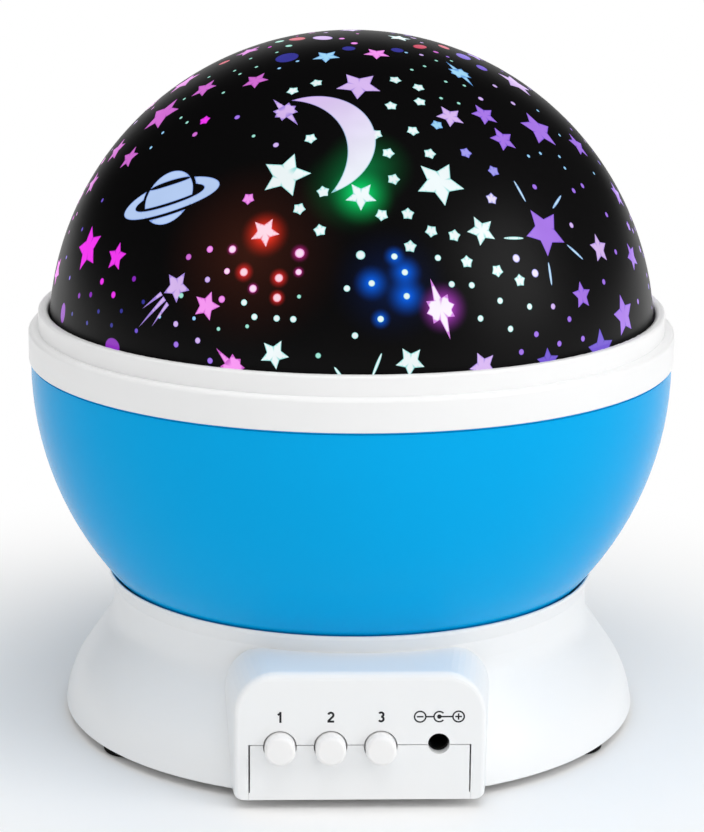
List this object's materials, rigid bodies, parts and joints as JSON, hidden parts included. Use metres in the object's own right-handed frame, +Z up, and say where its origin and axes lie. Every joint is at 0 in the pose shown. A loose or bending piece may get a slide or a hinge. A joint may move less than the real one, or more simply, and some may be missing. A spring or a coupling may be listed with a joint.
{
  "type": "star night light projector",
  "caption": "Star night light projector: flared base with push buttons and a power jack, a motor-turned bowl, and a lift-off cap with a domed star screen lit from inside.",
  "frame": {"origin": "on the table under the feet, on the bowl's turning axis, at the centre of the bounding box's bottom", "axes": "+Z up along the turning axis, -Y towards the control panel, +X to the right as the panel is faced"},
  "size_m": [0.13, 0.13, 0.1393],
  "materials": {
    "housing_white": "fine satin moulded ABS, white",
    "bowl_blue": "glossy moulded ABS, sky blue",
    "collar_white": "semi-gloss moulded ABS, white",
    "dome_print": "black satin print over a translucent shell, clear where the stars are",
    "button_white": "satin moulded ABS, warm white",
    "rubber_black": "matt",
    "screw_steel": "zinc plated",
    "spring_steel": "bright spring steel",
    "motor_steel": "plated can",
    "contact_brass": "bright",
    "contact_nickel": "nickel plated",
    "acetal_natural": "natural acetal",
    "holder_white": "satin",
    "board_white": "white solder mask",
    "board_green": "green solder mask",
    "component_black": "moulded resin",
    "wire_jackets": "soft PVC",
    "cell_jacket": "plain printed sleeve",
    "lamp_red": "tinted clear resin",
    "lamp_green": "tinted clear resin",
    "lamp_blue": "tinted clear resin",
    "lamp_white": "clear resin"
  },
  "bodies": {
    "base": {"base_housing": "housing_white", "base_cover": "housing_white", "rubber_feet": "rubber_black", "cover_screws": "screw_steel", "control_board": "board_green", "board_parts": "component_black", "board_screws": "screw_steel", "switch_1": "component_black", "switch_2": "component_black", "switch_3": "component_black", "dc_jack": "component_black", "jack_contact": "contact_brass", "drive_motor": "motor_steel", "motor_screws": "screw_steel", "spindle_post": "acetal_natural", "post_screws": "screw_steel", "thrust_washer": "acetal_natural", "retaining_clip": "spring_steel", "led_holder": "holder_white", "led_board": "board_white", "led_red": "lamp_red", "led_green": "lamp_green", "led_blue": "lamp_blue", "led_white": "lamp_white", "led_wires": "wire_jackets", "motor_wires": "wire_jackets", "battery_wires": "wire_jackets", "battery_contacts": "contact_nickel", "battery_springs": "spring_steel", "aaa_cells": "cell_jacket"},
    "bowl": {"bowl_shell": "bowl_blue", "bowl_gear": "acetal_natural", "hub_bush": "acetal_natural", "gear_screws": "screw_steel"},
    "pinion": {"drive_pinion": "acetal_natural", "motor_shaft": "screw_steel"},
    "dome_cap": {"collar_ring": "collar_white", "star_dome": "dome_print", "snap_ring": "spring_steel"},
    "push_button_1": {"button_1": "button_white"},
    "push_button_2": {"button_2": "button_white"},
    "push_button_3": {"button_3": "button_white"},
    "battery_lid": {"battery_door": "housing_white", "door_screw": "screw_steel"}
  },
  "joints": [
    {"name": "bowl_spin", "type": "hinge", "parent": "base", "child": "bowl", "pos_m": [0, 0, 0.025], "axis": [0, 0, 1], "continuous": true},
    {"name": "pinion_spin", "type": "hinge", "parent": "base", "child": "pinion", "pos_m": [0, -0.028, 0.023], "axis": [0, 0, 1], "continuous": true},
    {"name": "dome_lift", "type": "slide", "parent": "bowl", "child": "dome_cap", "axis": [0, 0, 1], "range_m": [0, 0.06]},
    {"name": "button_1_press", "type": "slide", "parent": "base", "child": "push_button_1", "axis": [0, 1, 0], "range_m": [0, 0.002], "stiffness_N_per_m": 500, "springref_m": -0.0008},
    {"name": "button_2_press", "type": "slide", "parent": "base", "child": "push_button_2", "axis": [0, 1, 0], "range_m": [0, 0.002], "stiffness_N_per_m": 500, "springref_m": -0.0008},
    {"name": "button_3_press", "type": "slide", "parent": "base", "child": "push_button_3", "axis": [0, 1, 0], "range_m": [0, 0.002], "stiffness_N_per_m": 500, "springref_m": -0.0008},
    {"name": "battery_door_swing", "type": "hinge", "parent": "base", "child": "battery_lid", "pos_m": [0, -0.0101, 0.0032], "axis": [-1, 0, 0], "range_deg": [0, 100]}
  ],
  "couplings": [
    {"joint": "pinion_spin", "follows": "bowl_spin", "ratio": -2.5}
  ]
}
